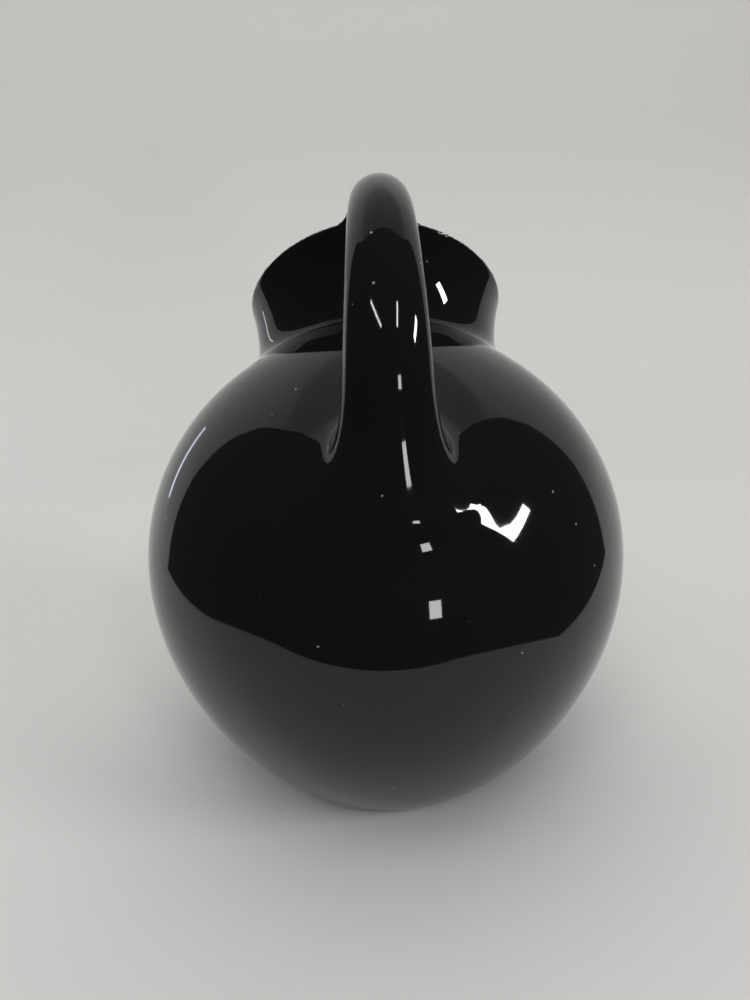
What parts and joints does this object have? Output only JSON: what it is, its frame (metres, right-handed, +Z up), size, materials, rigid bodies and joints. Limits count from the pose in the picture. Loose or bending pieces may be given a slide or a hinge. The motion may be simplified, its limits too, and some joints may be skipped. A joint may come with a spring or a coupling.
{
  "type": "ball jug",
  "caption": "Ball-shaped pouring jug with a forward-leaning spouted collar and a strap handle from rim to shoulder.",
  "frame": {"origin": "middle of the flat foot, on the surface that the jug stands on", "axes": "+Z up the ball's axis, +Y the way the spout pours, -Y the handle, +X to the jug's right seen from behind the handle"},
  "size_m": [0.172, 0.1784, 0.212],
  "materials": {
    "black_glaze": "high gloss black glaze, faintly uneven, with small specks",
    "bare_clay": "matt unglazed dark clay on the wiped foot"
  },
  "bodies": {
    "root": {"lower_bowl": "black_glaze", "upper_dome": "black_glaze", "spout_collar": "black_glaze", "collar_luting": "black_glaze", "handle": "black_glaze", "handle_rim_luting": "black_glaze", "handle_root_luting": "black_glaze"}
  },
  "joints": []
}
